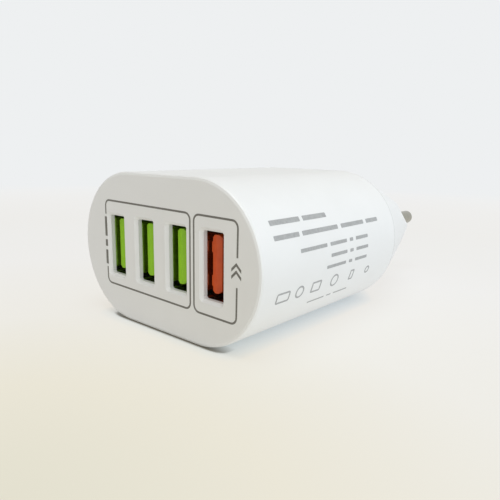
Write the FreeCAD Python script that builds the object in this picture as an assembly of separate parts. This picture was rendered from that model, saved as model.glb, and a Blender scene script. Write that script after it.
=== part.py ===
import FreeCAD, Part
import math
import os

# USB charger: a stadium-section housing with four USB-A sockets and a tapered nose with a two-pin plug.
# Millimetres. +Z is up, the sockets face -Y and the plug points +Y. It lies on the flat of its long side.
# The origin is on the table, under the middle of the whole length.

# Housing
BODY_WIDTH = 53.0
BODY_HEIGHT = 32.0
BODY_LENGTH = 49.0
BODY_WALL = 2.0
FRONT_WALL = 1.5
FRONT_EDGE_RADIUS = 0.6
NOSE_LENGTH = 27.5
NOSE_WALL = 2.2
SPIGOT_LENGTH = 4.0
SPIGOT_WALL = 1.2
SPIGOT_CLEARANCE = 0.1
GUIDE_THICKNESS = 1.2
GUIDE_DEPTH = 4.0
GUIDE_CLEARANCE = 0.1
RAIL_LAP = 1.5
RAIL_THICKNESS = 1.6

# Plug face: the oval drawn in evenly to this height, with a flat flank planed off each of its four corners
PLUG_HEIGHT = 14.0
PLUG_FLAT = 26.1
PLUG_CHAMFER = 0.5
PLUG_WALL = 4.0
FLANK_LENGTH = 18.0
BOSS_WIDTH = 7.0
BOSS_LENGTH = 4.0

# Mains pins, which lean towards each other
PIN_DIAMETER = 4.0
PIN_LENGTH = 19.0
PIN_BASE_SPACING = 18.6
PIN_TIP_SPACING = 17.5
PIN_SHANK_DIAMETER = 3.0
PIN_TAIL_LENGTH = 1.0
PIN_TIP_LENGTH = 1.0
PIN_TIP_FLAT = 3.0
SLEEVE_LENGTH = 10.0
SLEEVE_DIAMETER = 3.6

# Port windows
PORT_COUNT = 4
PORT_PITCH = 9.75
PORT_WIDTH = 5.12
PORT_HEIGHT = 13.0
PORT_CORNER = 0.3
PORT_BEVEL = 0.6

# USB-A sockets
SHELL_THICKNESS = 0.3
SHELL_LENGTH = 13.9
SHELL_TAB_WIDTH = 2.4
SHELL_TAB_PAST_BOARD = 0.3
FINGER_WIDTH = 1.5
FINGER_LENGTH = 5.6
FINGER_START = 2.6
FINGER_RISE = 0.35
FINGER_OFFSET = 3.4
FINGER_SLOT = 0.3
TONGUE_RECESS = 0.8
TONGUE_WIDTH = 11.1
TONGUE_THICKNESS = 1.84
TONGUE_BACK_GAP = 0.72
TONGUE_CORNER = 0.5
TONGUE_LEAD_IN = 0.8
TONGUE_LEAD_IN_LENGTH = 0.6
TONGUE_RIB_HEIGHT = 0.25
TONGUE_RIB_WIDTH = 2.0
TONGUE_RIB_OFFSET = 3.2
RIBBED_PORT = 4
BLOCK_DEPTH = 4.0
BLOCK_CLEARANCE = 0.05
CONTACT_WIDTH = 1.0
CONTACT_THICKNESS = 0.3
CONTACT_RECESS = 1.0
CONTACT_BOW = 0.35
CONTACT_BOW_LENGTH = 2.6
CONTACT_INNER_OFFSET = 1.0
CONTACT_OUTER_OFFSET = 3.5
CONTACT_PAST_BOARD = 0.6
CONTACT_CLEARANCE = 0.02

# Boards
BOARD_THICKNESS = 1.6
SOCKET_BOARD_CLEARANCE = 0.3
MAIN_BOARD_WIDTH = 37.0
MAIN_BOARD_LENGTH = 35.0
MAIN_BOARD_UNDERSIDE = 8.0
MAIN_BOARD_CORNER = 3.0
BOARD_TAB_WIDTH = 4.0
SLOT_CLEARANCE = 0.1

# Parts on the main board
PART_GAP = 1.0
LEAD_SIZE = 0.6
LEAD_HOLE_CLEARANCE = 0.15
LEAD_PAST_BOARD = 1.0
CASE_CHAMFER = 0.6
CORE_LENGTH = 18.0
CORE_WIDTH = 17.0
CORE_THICKNESS = 6.0
CORE_CENTRE_LEG = 5.0
CORE_SIDE_LEG = 2.5
CORE_BACK = 2.5
BOBBIN_CLEARANCE = 0.1
BOBBIN_WALL = 0.8
BOBBIN_FLANGE = 1.0
BOBBIN_HEIGHT = 13.4
BOBBIN_FOOT = 0.8
RAIL_PIN_PITCH = 5.0
RAIL_PIN_COUNT = 3
WINDING_MARGIN = 0.5
WINDING_CORNER = 2.0
BULK_CAP_DIAMETER = 10.0
BULK_CAP_HEIGHT = 13.0
BULK_CAP_LEAD_PITCH = 5.0
OUTPUT_CAP_DIAMETER = 5.0
OUTPUT_CAP_HEIGHT = 11.0
OUTPUT_CAP_LEAD_PITCH = 2.0
TRANSISTOR_WIDTH = 8.0
TRANSISTOR_THICKNESS = 3.2
TRANSISTOR_HEIGHT = 11.0
TRANSISTOR_LEAD_PITCH = 2.3
TRANSISTOR_LIFT = 2.5
DISC_DIAMETER = 6.0
DISC_THICKNESS = 3.0
DISC_LIFT = 0.8
DISC_LEAD_PITCH = 4.0
CHOKE_SIZE = 5.2
CHOKE_HEIGHT = 9.0
CHOKE_POST = 2.4
CHOKE_FLANGE = 1.2
CHOKE_WIRE_MARGIN = 0.6
CHOKE_LEAD_PITCH = 3.0
BOX_CAP_LENGTH = 13.0
BOX_CAP_THICKNESS = 5.0
BOX_CAP_HEIGHT = 10.0
BOX_CAP_LEAD_PITCH = 10.0
FUSE_LENGTH = 8.4
FUSE_THICKNESS = 4.2
FUSE_HEIGHT = 7.6
FUSE_LEAD_PITCH = 5.0
SINK_WIDTH = 7.6
SINK_HEIGHT = 12.5
SINK_BASE = 1.4
SINK_FIN_DEPTH = 2.6
SINK_FIN_THICKNESS = 0.9
SINK_FIN_COUNT = 4
RECTIFIER_WIDTH = 7.0
RECTIFIER_THICKNESS = 2.2
RECTIFIER_HEIGHT = 8.0
RECTIFIER_LIFT = 3.0
RECTIFIER_LEAD_PITCH = 5.08

# Strips from the pins to the main board
STRIP_WIDTH = 3.0
STRIP_THICKNESS = 0.4
STRIP_DROP = 3.2
STRIP_RISE = 1.4
STRIP_CLEARANCE = 0.05
STRIP_FOOT_INSET = 1.0

# Moulded packages with bent leads: under the main board and on the back of the socket board
PACKAGE_LEAD_THICKNESS = 0.2
PACKAGE_STANDOFF = 0.1
PACKAGE_LEAD_FOOT = 0.6
PACKAGE_DRAFT = 0.25
BRIDGE_LENGTH = 4.8
BRIDGE_WIDTH = 4.0
BRIDGE_THICKNESS = 2.5
BRIDGE_LEAD_WIDTH = 0.7
BRIDGE_LEAD_PITCH = 2.5
CONTROLLER_LENGTH = 4.9
CONTROLLER_WIDTH = 3.9
CONTROLLER_THICKNESS = 1.6
CONTROLLER_LEAD_WIDTH = 0.5
CONTROLLER_LEAD_PITCH = 1.27
OPTOCOUPLER_LENGTH = 4.6
OPTOCOUPLER_WIDTH = 6.5
OPTOCOUPLER_THICKNESS = 3.4
OPTOCOUPLER_LEAD_WIDTH = 0.6
OPTOCOUPLER_LEAD_PITCH = 2.54
CHARGER_LENGTH = 2.9
CHARGER_WIDTH = 1.6
CHARGER_THICKNESS = 1.1
CHARGER_LEAD_WIDTH = 0.4
CHARGER_LEAD_PITCH = 1.9
CHARGER_RISE = 9.0

# Places that follow from the values above
TOTAL_LENGTH = BODY_LENGTH + NOSE_LENGTH + PIN_LENGTH
Y_FRONT = -TOTAL_LENGTH / 2
Y_SEAM = Y_FRONT + BODY_LENGTH
Y_PLUG = Y_SEAM + NOSE_LENGTH
Z_MID = BODY_HEIGHT / 2
HALF_FLAT = (BODY_WIDTH - BODY_HEIGHT) / 2
BODY_RADIUS = BODY_HEIGHT / 2
INNER_RADIUS = BODY_RADIUS - BODY_WALL
SPIGOT_RADIUS = INNER_RADIUS - SPIGOT_CLEARANCE
BORE_RADIUS = SPIGOT_RADIUS - SPIGOT_WALL
PLUG_RADIUS = PLUG_HEIGHT / 2
Y_MOUTH = Y_FRONT + FRONT_WALL
Y_SOCKET_BOARD = Y_MOUTH + SHELL_LENGTH
Y_MAIN_BOARD = Y_SOCKET_BOARD + BOARD_THICKNESS
Y_MAIN_BOARD_END = Y_MAIN_BOARD + MAIN_BOARD_LENGTH
Y_PARTS = Y_MAIN_BOARD + CHARGER_THICKNESS + PART_GAP
Z_BOARD_TOP = MAIN_BOARD_UNDERSIDE + BOARD_THICKNESS
Z_LEAD_ENDS = MAIN_BOARD_UNDERSIDE - LEAD_PAST_BOARD
PORT_XS = [PORT_PITCH * (i - (PORT_COUNT - 1) / 2) for i in range(PORT_COUNT)]
BOARD_TAB_XS = [-PORT_PITCH, PORT_PITCH]
CONTACT_ZS = [Z_MID + offset for offset in (-CONTACT_OUTER_OFFSET, -CONTACT_INNER_OFFSET,
                                            CONTACT_INNER_OFFSET, CONTACT_OUTER_OFFSET)]
PIN_LEAN = math.atan2((PIN_BASE_SPACING - PIN_TIP_SPACING) / 2, PIN_LENGTH)
PIN_INSIDE = PLUG_WALL + BOSS_LENGTH + PIN_TAIL_LENGTH

X_AXIS = FreeCAD.Vector(1, 0, 0)
Y_AXIS = FreeCAD.Vector(0, 1, 0)
Z_AXIS = FreeCAD.Vector(0, 0, 1)

os.makedirs("parts", exist_ok=True)


def write(name, shape):
    """Save one node."""
    shape.exportStep("parts/" + name + ".step")


def box(x0, x1, y0, y1, z0, z1):
    """Block between two corners."""
    return Part.makeBox(x1 - x0, y1 - y0, z1 - z0, FreeCAD.Vector(x0, y0, z0))


def centred(x, width, y, depth, z0, z1):
    """Block centred on x and y."""
    return box(x - width / 2, x + width / 2, y - depth / 2, y + depth / 2, z0, z1)


def joined(shapes):
    """One solid out of several that meet."""
    return shapes[0].multiFuse(shapes[1:]).removeSplitter()


def oval(profile):
    """Solid of stadium section from (y, radius) points: turned at both ends, straight between them."""
    first = profile[0][0]
    last = profile[-1][0]
    half = [(first, 0)] + profile + [(last, 0), (first, 0)]
    pieces = []
    for side in (-1, 1):
        x = side * HALF_FLAT
        wire = Part.makePolygon([FreeCAD.Vector(x, y, Z_MID + r) for y, r in half])
        pieces.append(Part.Face(wire).revolve(FreeCAD.Vector(x, 0, Z_MID), Y_AXIS * side, 180))
    whole = profile + [(y, -r) for y, r in reversed(profile)] + profile[:1]
    wire = Part.makePolygon([FreeCAD.Vector(-HALF_FLAT, y, Z_MID + r) for y, r in whole])
    pieces.append(Part.Face(wire).extrude(FreeCAD.Vector(2 * HALF_FLAT, 0, 0)))
    return joined(pieces)


def frustum(low, high):
    """Solid between two polygons whose sides are parallel, corner for corner."""
    faces = [Part.Face(Part.makePolygon(polygon + polygon[:1])) for polygon in (low, high)]
    for i in range(len(low)):
        faces.append(Part.Face(Part.makePolygon([low[i - 1], low[i], high[i], high[i - 1], low[i - 1]])))
    shell = Part.makeShell(faces)
    shell.sewShape()
    return Part.makeSolid(shell)


def octagon(radius, y):
    """Corners of an eight-sided outline that fits inside the oval of this end radius."""
    corners = []
    for angle in (67.5, 22.5, -22.5, -67.5, -112.5, -157.5, 157.5, 112.5):
        a = math.radians(angle)
        x = radius * math.cos(a)
        corners.append(FreeCAD.Vector(x + math.copysign(HALF_FLAT, x), y, Z_MID + radius * math.sin(a)))
    return corners


def upright_block(x, width, height, corner, y0, y1):
    """Block with clipped corners, centred on the middle height, from y0 to y1."""
    a = width / 2
    b = height / 2
    outline = [(-a, b - corner), (-a + corner, b), (a - corner, b), (a, b - corner),
               (a, -b + corner), (a - corner, -b), (-a + corner, -b), (-a, -b + corner), (-a, b - corner)]
    wire = Part.makePolygon([FreeCAD.Vector(x + u, y0, Z_MID + v) for u, v in outline])
    return Part.Face(wire).extrude(FreeCAD.Vector(0, y1 - y0, 0))


def strip(points, thickness, plane, start, width):
    """Bent strip: a path of (y, across) points, thickened to its left, then extruded along X or Z.

    With plane "x" the path lies in YZ and the strip is extruded along X, with "z" it lies in YX.
    """
    sides = []
    for (y0, a0), (y1, a1) in zip(points, points[1:]):
        length = math.hypot(y1 - y0, a1 - a0)
        sides.append((-(a1 - a0) / length, (y1 - y0) / length))
    far = []
    for i, (y, a) in enumerate(points):
        n0 = sides[max(i - 1, 0)]
        n1 = sides[min(i, len(sides) - 1)]
        scale = thickness / (1 + n0[0] * n1[0] + n0[1] * n1[1])
        far.append((y + (n0[0] + n1[0]) * scale, a + (n0[1] + n1[1]) * scale))
    outline = points + far[::-1] + points[:1]
    if plane == "x":
        wire = Part.makePolygon([FreeCAD.Vector(start, y, a) for y, a in outline])
        return Part.Face(wire).extrude(FreeCAD.Vector(width, 0, 0))
    wire = Part.makePolygon([FreeCAD.Vector(a, y, start) for y, a in outline])
    return Part.Face(wire).extrude(FreeCAD.Vector(0, 0, width))


def turned(profile, place):
    """Solid of revolution about +Y from (radius, along) points."""
    wire = Part.makePolygon([FreeCAD.Vector(r, along, 0) for r, along in profile + profile[:1]])
    solid = Part.Face(wire).revolve(FreeCAD.Vector(), Y_AXIS, 360)
    solid.Placement = place
    return solid


# Mains pins: a shank in a sleeve that runs right through the plug wall, and a bare tip with a tapered end
pin_radius = PIN_DIAMETER / 2
shank_radius = PIN_SHANK_DIAMETER / 2
tip_start = PIN_LENGTH - PIN_TIP_LENGTH
pin_profile = [
    (0, -PIN_INSIDE),
    (shank_radius, -PIN_INSIDE),
    (shank_radius, SLEEVE_LENGTH),
    (pin_radius, SLEEVE_LENGTH),
    (pin_radius, tip_start),
    (PIN_TIP_FLAT / 2, PIN_LENGTH),
    (0, PIN_LENGTH),
]
sleeve_profile = [
    (shank_radius, -PLUG_WALL - BOSS_LENGTH),
    (SLEEVE_DIAMETER / 2, -PLUG_WALL - BOSS_LENGTH),
    (SLEEVE_DIAMETER / 2, SLEEVE_LENGTH),
    (shank_radius, SLEEVE_LENGTH),
]
pin_holes = []
for name, side in (("left", -1), ("right", 1)):
    lean = FreeCAD.Rotation(Z_AXIS, side * math.degrees(PIN_LEAN))
    place = FreeCAD.Placement(FreeCAD.Vector(side * PIN_BASE_SPACING / 2, Y_PLUG, Z_MID), lean)
    pin = turned(pin_profile, place)
    write("plug_pin_" + name, pin)
    sleeve = turned(sleeve_profile, place)
    write("pin_sleeve_" + name, sleeve)
    pin_holes.append(pin.fuse(sleeve))

# Body shell: front wall with four bevelled windows, socket guides behind it, rails for the main board
edge_middle = FRONT_EDGE_RADIUS * (1 - math.sqrt(0.5))
body = oval([(Y_FRONT, BODY_RADIUS - FRONT_EDGE_RADIUS),
             (Y_FRONT + edge_middle, BODY_RADIUS - edge_middle),
             (Y_FRONT + FRONT_EDGE_RADIUS, BODY_RADIUS),
             (Y_SEAM, BODY_RADIUS)])
body = body.cut(oval([(Y_MOUTH, INNER_RADIUS), (Y_SEAM, INNER_RADIUS)]))
guide_half = PORT_PITCH * (PORT_COUNT - 1) / 2 + PORT_WIDTH / 2 + SHELL_THICKNESS
guide_from = PORT_HEIGHT / 2 + SHELL_THICKNESS + GUIDE_CLEARANCE
ribs = []
for z0 in (Z_MID + guide_from, Z_MID - guide_from - GUIDE_THICKNESS):
    ribs.append(box(-guide_half, guide_half, Y_MOUTH - FRONT_WALL / 2, Y_MOUTH + GUIDE_DEPTH,
                    z0, z0 + GUIDE_THICKNESS))
rail_end = Y_SEAM - SPIGOT_LENGTH - SPIGOT_CLEARANCE
wall_middle = oval([(Y_FRONT, BODY_RADIUS - BODY_WALL / 2), (Y_SEAM, BODY_RADIUS - BODY_WALL / 2)])
for side in (-1, 1):
    x_near = side * (MAIN_BOARD_WIDTH / 2 - RAIL_LAP)
    x_far = side * BODY_WIDTH / 2
    rail = box(min(x_near, x_far), max(x_near, x_far), Y_MAIN_BOARD, rail_end,
               MAIN_BOARD_UNDERSIDE - RAIL_THICKNESS, MAIN_BOARD_UNDERSIDE)
    ribs.append(rail.common(wall_middle))
body = joined([body] + ribs)
for x in PORT_XS:
    body = body.cut(upright_block(x, PORT_WIDTH, PORT_HEIGHT, PORT_CORNER, Y_FRONT, Y_MOUTH))
rims = [e for e in body.Edges
        if e.BoundBox.YMax < Y_FRONT + edge_middle / 2 and e.BoundBox.ZLength <= PORT_HEIGHT
        and abs(e.CenterOfMass.x) < guide_half and abs(e.CenterOfMass.z - Z_MID) < guide_from]
body = body.makeChamfer(PORT_BEVEL, rims)
write("body_shell", body)

# Rear cover: spigot inside the body, hollow taper from the oval to the plug face, bosses round the pins
cover = oval([(Y_SEAM - SPIGOT_LENGTH, SPIGOT_RADIUS),
              (Y_SEAM, SPIGOT_RADIUS),
              (Y_SEAM, BODY_RADIUS),
              (Y_PLUG - PLUG_CHAMFER, PLUG_RADIUS),
              (Y_PLUG, PLUG_RADIUS - PLUG_CHAMFER)])
bore = [octagon(BORE_RADIUS, y) for y in (Y_SEAM - SPIGOT_LENGTH, Y_SEAM)]
bore_end = octagon(PLUG_RADIUS - NOSE_WALL, Y_PLUG - PLUG_WALL)
cavity = joined([frustum(bore[0], bore[1]), frustum(bore[1], bore_end)])
# The flanks lie on a hexagon that widens faster than the nose does, so they run out at FLANK_LENGTH
plug_half = HALF_FLAT + PLUG_RADIUS
flank_run = plug_half - PLUG_FLAT / 2
flank_slope = flank_run / PLUG_RADIUS
flank_cos = 1 / math.hypot(1, flank_slope)
nose_growth = (BODY_RADIUS - PLUG_RADIUS) / (NOSE_LENGTH - PLUG_CHAMFER)
flank_depth = PLUG_RADIUS * (1 - flank_cos)
flank_growth = nose_growth + flank_depth / FLANK_LENGTH
hexagons = []
for y, half_height in ((Y_PLUG, BODY_RADIUS), (Y_SEAM - SPIGOT_LENGTH, BODY_HEIGHT)):
    tip = plug_half + (Y_PLUG - y) * flank_growth / flank_cos
    flat = tip - half_height * flank_slope
    hexagons.append([FreeCAD.Vector(x, y, Z_MID + z) for x, z in (
        (-flat, half_height), (flat, half_height), (tip, 0),
        (flat, -half_height), (-flat, -half_height), (-tip, 0))])
cover = cover.common(frustum(*hexagons)).cut(cavity)
bosses = []
for side in (-1, 1):
    x = side * PIN_BASE_SPACING / 2
    half = BOSS_WIDTH / 2
    bosses.append(box(x - half, x + half, Y_PLUG - PLUG_WALL - BOSS_LENGTH, Y_PLUG - PLUG_WALL / 2,
                      Z_MID - half, Z_MID + half))
cover = joined([cover] + bosses)
for hole in pin_holes:
    cover = cover.cut(hole)
write("rear_cover", cover)

# USB-A sockets: steel shell with spring fingers, insulating tongue and block, four contacts
y_tongue = Y_MOUTH + TONGUE_RECESS
y_block = Y_SOCKET_BOARD - BLOCK_DEPTH
socket_board_cuts = []
for number, x in enumerate(PORT_XS, 1):
    shell = upright_block(x, PORT_WIDTH + 2 * SHELL_THICKNESS, PORT_HEIGHT + 2 * SHELL_THICKNESS,
                          PORT_CORNER, Y_MOUTH, Y_SOCKET_BOARD)
    shell = shell.cut(upright_block(x, PORT_WIDTH, PORT_HEIGHT, PORT_CORNER, Y_MOUTH, Y_SOCKET_BOARD))
    additions = []
    for side in (-1, 1):
        wall_in = x + side * PORT_WIDTH / 2
        x_low = min(wall_in, wall_in + side * SHELL_THICKNESS)
        x_high = x_low + SHELL_THICKNESS
        for updown in (-1, 1):
            z = Z_MID + updown * FINGER_OFFSET
            y0 = Y_MOUTH + FINGER_START
            y1 = y0 + FINGER_LENGTH
            half = FINGER_WIDTH / 2
            slot = half + FINGER_SLOT
            shell = shell.cut(box(x_low, x_high, y0, y1 + FINGER_SLOT, z - slot, z + slot))
            lean = side * FINGER_RISE
            outline = [(x_low, y0), (x_high, y0), (x_high - lean, y1), (x_low - lean, y1), (x_low, y0)]
            wire = Part.makePolygon([FreeCAD.Vector(a, b, z - half) for a, b in outline])
            additions.append(Part.Face(wire).extrude(FreeCAD.Vector(0, 0, FINGER_WIDTH)))
        half = SHELL_TAB_WIDTH / 2
        additions.append(box(x_low, x_high, Y_SOCKET_BOARD - SHELL_THICKNESS,
                             Y_MAIN_BOARD + SHELL_TAB_PAST_BOARD, Z_MID - half, Z_MID + half))
        slot = half + SLOT_CLEARANCE
        socket_board_cuts.append(box(x_low - SLOT_CLEARANCE, x_high + SLOT_CLEARANCE,
                                     Y_SOCKET_BOARD, Y_MAIN_BOARD, Z_MID - slot, Z_MID + slot))
    write("usb_shell_%d" % number, joined([shell] + additions))

    x_tongue = x - PORT_WIDTH / 2 + TONGUE_BACK_GAP
    x_face = x_tongue + TONGUE_THICKNESS
    x_groove = x_face - CONTACT_THICKNESS
    tongue = upright_block(x_tongue + TONGUE_THICKNESS / 2, TONGUE_THICKNESS, TONGUE_WIDTH, TONGUE_CORNER,
                           y_tongue, Y_SOCKET_BOARD)
    low = Z_MID - TONGUE_WIDTH / 2
    slope = [FreeCAD.Vector(x_face - TONGUE_LEAD_IN, y_tongue, low),
             FreeCAD.Vector(x_face, y_tongue, low),
             FreeCAD.Vector(x_face, y_tongue + TONGUE_LEAD_IN_LENGTH, low)]
    lead_in = Part.Face(Part.makePolygon(slope + slope[:1])).extrude(FreeCAD.Vector(0, 0, TONGUE_WIDTH))
    tongue = tongue.cut(lead_in)
    block = upright_block(x, PORT_WIDTH - 2 * BLOCK_CLEARANCE, PORT_HEIGHT - 2 * BLOCK_CLEARANCE,
                          PORT_CORNER, y_block, Y_SOCKET_BOARD)
    ribs = []
    for updown in (-1, 1) if number == RIBBED_PORT else ():
        z = Z_MID + updown * TONGUE_RIB_OFFSET
        half = TONGUE_RIB_WIDTH / 2
        ribs.append(box(x_tongue - TONGUE_RIB_HEIGHT, x_tongue, y_tongue, y_block, z - half, z + half))
    tongue = joined([tongue, block] + ribs)
    contacts = []
    y_contact = y_tongue + CONTACT_RECESS
    half = CONTACT_WIDTH / 2
    for z in CONTACT_ZS:
        slot = half + CONTACT_CLEARANCE
        groove_from = y_contact - CONTACT_THICKNESS
        tongue = tongue.cut(box(x_groove, x_face, groove_from, Y_SOCKET_BOARD, z - slot, z + slot))
        path = [(y_contact, x_groove + CONTACT_BOW),
                (y_contact + CONTACT_BOW_LENGTH, x_groove),
                (Y_MAIN_BOARD + CONTACT_PAST_BOARD, x_groove)]
        contacts.append(strip(path, CONTACT_THICKNESS, "z", z - half, CONTACT_WIDTH))
        slot = half + SLOT_CLEARANCE
        socket_board_cuts.append(box(x_groove - SLOT_CLEARANCE, x_face + SLOT_CLEARANCE,
                                     Y_SOCKET_BOARD, Y_MAIN_BOARD, z - slot, z + slot))
    write("usb_tongue_%d" % number, tongue)
    write("usb_contacts_%d" % number, Part.makeCompound(contacts))

# Socket board: upright behind the sockets, eight-sided to fit the oval, slotted for the main board's tabs
corners = octagon(INNER_RADIUS - SOCKET_BOARD_CLEARANCE, Y_SOCKET_BOARD)
board_face = Part.Face(Part.makePolygon(corners + corners[:1]))
socket_board = board_face.extrude(FreeCAD.Vector(0, BOARD_THICKNESS, 0))
for x in BOARD_TAB_XS:
    half = BOARD_TAB_WIDTH / 2 + SLOT_CLEARANCE
    socket_board_cuts.append(box(x - half, x + half, Y_SOCKET_BOARD, Y_MAIN_BOARD,
                                 MAIN_BOARD_UNDERSIDE - SLOT_CLEARANCE, Z_BOARD_TOP + SLOT_CLEARANCE))
write("socket_board", socket_board.cut(Part.makeCompound(socket_board_cuts)))

# Main board holes, added to by each part that is soldered through it
board_cuts = []


def leads(x, y, pitch, count, along, top):
    """Square leads in a row from top down through the main board, and their holes."""
    hole = LEAD_SIZE + 2 * LEAD_HOLE_CLEARANCE
    made = []
    for i in range(count):
        offset = pitch * (i - (count - 1) / 2)
        at_x = x + (offset if along == "x" else 0)
        at_y = y + (offset if along == "y" else 0)
        made.append(centred(at_x, LEAD_SIZE, at_y, LEAD_SIZE, Z_LEAD_ENDS, top))
        board_cuts.append(centred(at_x, hole, at_y, hole, MAIN_BOARD_UNDERSIDE, Z_BOARD_TOP))
    return made


def chamfered_top(case):
    """Case with its four top edges broken."""
    top = case.BoundBox.ZMax
    return case.makeChamfer(CASE_CHAMFER, [e for e in case.Edges if e.BoundBox.ZMin > top - CASE_CHAMFER])


# Strips: each presses on the inner end of a pin, runs over to the board and goes through it
strip_y = Y_PLUG - PIN_INSIDE * math.cos(PIN_LEAN) - STRIP_CLEARANCE
foot_y = Y_MAIN_BOARD_END - STRIP_FOOT_INSET
run_z = Z_MID - STRIP_DROP
for name, side in (("left", -1), ("right", 1)):
    x0 = side * (PIN_BASE_SPACING / 2 + PIN_INSIDE * math.sin(PIN_LEAN)) - STRIP_WIDTH / 2
    path = [(foot_y, Z_LEAD_ENDS), (foot_y, run_z), (strip_y, run_z), (strip_y, Z_MID + STRIP_RISE)]
    write("mains_strip_" + name, strip(path, STRIP_THICKNESS, "x", x0, STRIP_WIDTH))
    board_cuts.append(box(x0 - SLOT_CLEARANCE, x0 + STRIP_WIDTH + SLOT_CLEARANCE,
                          foot_y - STRIP_THICKNESS - SLOT_CLEARANCE, foot_y + SLOT_CLEARANCE,
                          MAIN_BOARD_UNDERSIDE, Z_BOARD_TOP))

# Transformer: two E halves lying flat, a bobbin on their middle legs, the winding between its flanges
column_width = TRANSISTOR_THICKNESS + PART_GAP + CORE_LENGTH + PART_GAP + BULK_CAP_DIAMETER
x_left = -column_width / 2
x_right = column_width / 2
x_core = x_left + TRANSISTOR_THICKNESS + PART_GAP + CORE_LENGTH / 2
front_row = SINK_FIN_DEPTH + SINK_BASE + RECTIFIER_THICKNESS
y_core = Y_PARTS + front_row + PART_GAP + CORE_WIDTH / 2
z_core = Z_BOARD_TOP + BOBBIN_FOOT + BOBBIN_HEIGHT / 2
half_core = CORE_THICKNESS / 2
leg = CORE_CENTRE_LEG / 2
window = CORE_WIDTH / 2 - CORE_SIDE_LEG
inner = CORE_LENGTH / 2 - CORE_BACK
for name, side in (("left", -1), ("right", 1)):
    outline = [(0, leg), (inner, leg), (inner, window), (0, window), (0, CORE_WIDTH / 2),
               (CORE_LENGTH / 2, CORE_WIDTH / 2), (CORE_LENGTH / 2, -CORE_WIDTH / 2), (0, -CORE_WIDTH / 2),
               (0, -window), (inner, -window), (inner, -leg), (0, -leg), (0, leg)]
    wire = Part.makePolygon([FreeCAD.Vector(x_core + side * a, y_core + b, z_core - half_core)
                             for a, b in outline])
    write("transformer_core_" + name, Part.Face(wire).extrude(FreeCAD.Vector(0, 0, CORE_THICKNESS)))
bore_y = leg + BOBBIN_CLEARANCE
bore_z = half_core + BOBBIN_CLEARANCE
tube_y = bore_y + BOBBIN_WALL
tube_z = bore_z + BOBBIN_WALL
end = inner - BOBBIN_CLEARANCE
flange_y = window - BOBBIN_CLEARANCE
pieces = [centred(x_core, 2 * end, y_core, 2 * tube_y, z_core - tube_z, z_core + tube_z)]
rail_pins = []
rail_top = z_core - half_core - BOBBIN_CLEARANCE
for side in (-1, 1):
    x_end = x_core + side * end
    x_in = x_end - side * BOBBIN_FLANGE
    x_out = x_core + side * CORE_LENGTH / 2
    pieces.append(box(min(x_end, x_in), max(x_end, x_in), y_core - flange_y, y_core + flange_y,
                      Z_BOARD_TOP, z_core + BOBBIN_HEIGHT / 2))
    pieces.append(box(min(x_in, x_out), max(x_in, x_out), y_core - CORE_WIDTH / 2, y_core + CORE_WIDTH / 2,
                      Z_BOARD_TOP, rail_top))
    x_pin = x_core + side * (CORE_LENGTH - CORE_BACK) / 2
    rail_pins += leads(x_pin, y_core, RAIL_PIN_PITCH, RAIL_PIN_COUNT, "y", Z_BOARD_TOP)
bobbin = joined(pieces).cut(centred(x_core, 2 * end, y_core, 2 * bore_y, z_core - bore_z, z_core + bore_z))
write("transformer_bobbin", bobbin)
write("transformer_pins", Part.makeCompound(rail_pins))
wound = end - BOBBIN_FLANGE
wound_y = flange_y - WINDING_MARGIN
wound_z = BOBBIN_HEIGHT / 2 - WINDING_MARGIN
winding = centred(x_core, 2 * wound, y_core, 2 * wound_y, z_core - wound_z, z_core + wound_z)
winding = winding.makeChamfer(WINDING_CORNER, [e for e in winding.Edges if e.BoundBox.XLength > wound])
winding = winding.cut(centred(x_core, 2 * wound, y_core, 2 * tube_y, z_core - tube_z, z_core + tube_z))
write("transformer_winding", winding)


def can_capacitor(x, y, diameter, height, lead_pitch, along):
    """Electrolytic capacitor: a can on two leads."""
    can = Part.makeCylinder(diameter / 2, height, FreeCAD.Vector(x, y, Z_BOARD_TOP))
    return joined([can] + leads(x, y, lead_pitch, 2, along, Z_BOARD_TOP + LEAD_SIZE))


# Bulk capacitors, in a column to the right of the transformer
x_bulk = x_right - BULK_CAP_DIAMETER / 2
y_bulk = Y_PARTS + BULK_CAP_DIAMETER / 2
for number in (1, 2):
    y = y_bulk + (number - 1) * (BULK_CAP_DIAMETER + PART_GAP)
    write("bulk_capacitor_%d" % number,
          can_capacitor(x_bulk, y, BULK_CAP_DIAMETER, BULK_CAP_HEIGHT, BULK_CAP_LEAD_PITCH, "y"))

# Output capacitors, in front of the transformer
y_output = Y_PARTS + OUTPUT_CAP_DIAMETER / 2
x_output = x_left + SINK_WIDTH + PART_GAP + OUTPUT_CAP_DIAMETER / 2
for number in (1, 2):
    x = x_output + (number - 1) * (OUTPUT_CAP_DIAMETER + PART_GAP)
    write("output_capacitor_%d" % number,
          can_capacitor(x, y_output, OUTPUT_CAP_DIAMETER, OUTPUT_CAP_HEIGHT, OUTPUT_CAP_LEAD_PITCH, "x"))

# Switching transistor, standing to the left of the transformer
x_column = x_left + TRANSISTOR_THICKNESS / 2
y_transistor = y_core - CORE_WIDTH / 2 + TRANSISTOR_WIDTH / 2
z0 = Z_BOARD_TOP + TRANSISTOR_LIFT
case = centred(x_column, TRANSISTOR_THICKNESS, y_transistor, TRANSISTOR_WIDTH, z0, z0 + TRANSISTOR_HEIGHT)
legs = leads(x_column, y_transistor, TRANSISTOR_LEAD_PITCH, 3, "y", z0 + LEAD_SIZE)
write("switching_transistor", joined([chamfered_top(case)] + legs))

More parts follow.
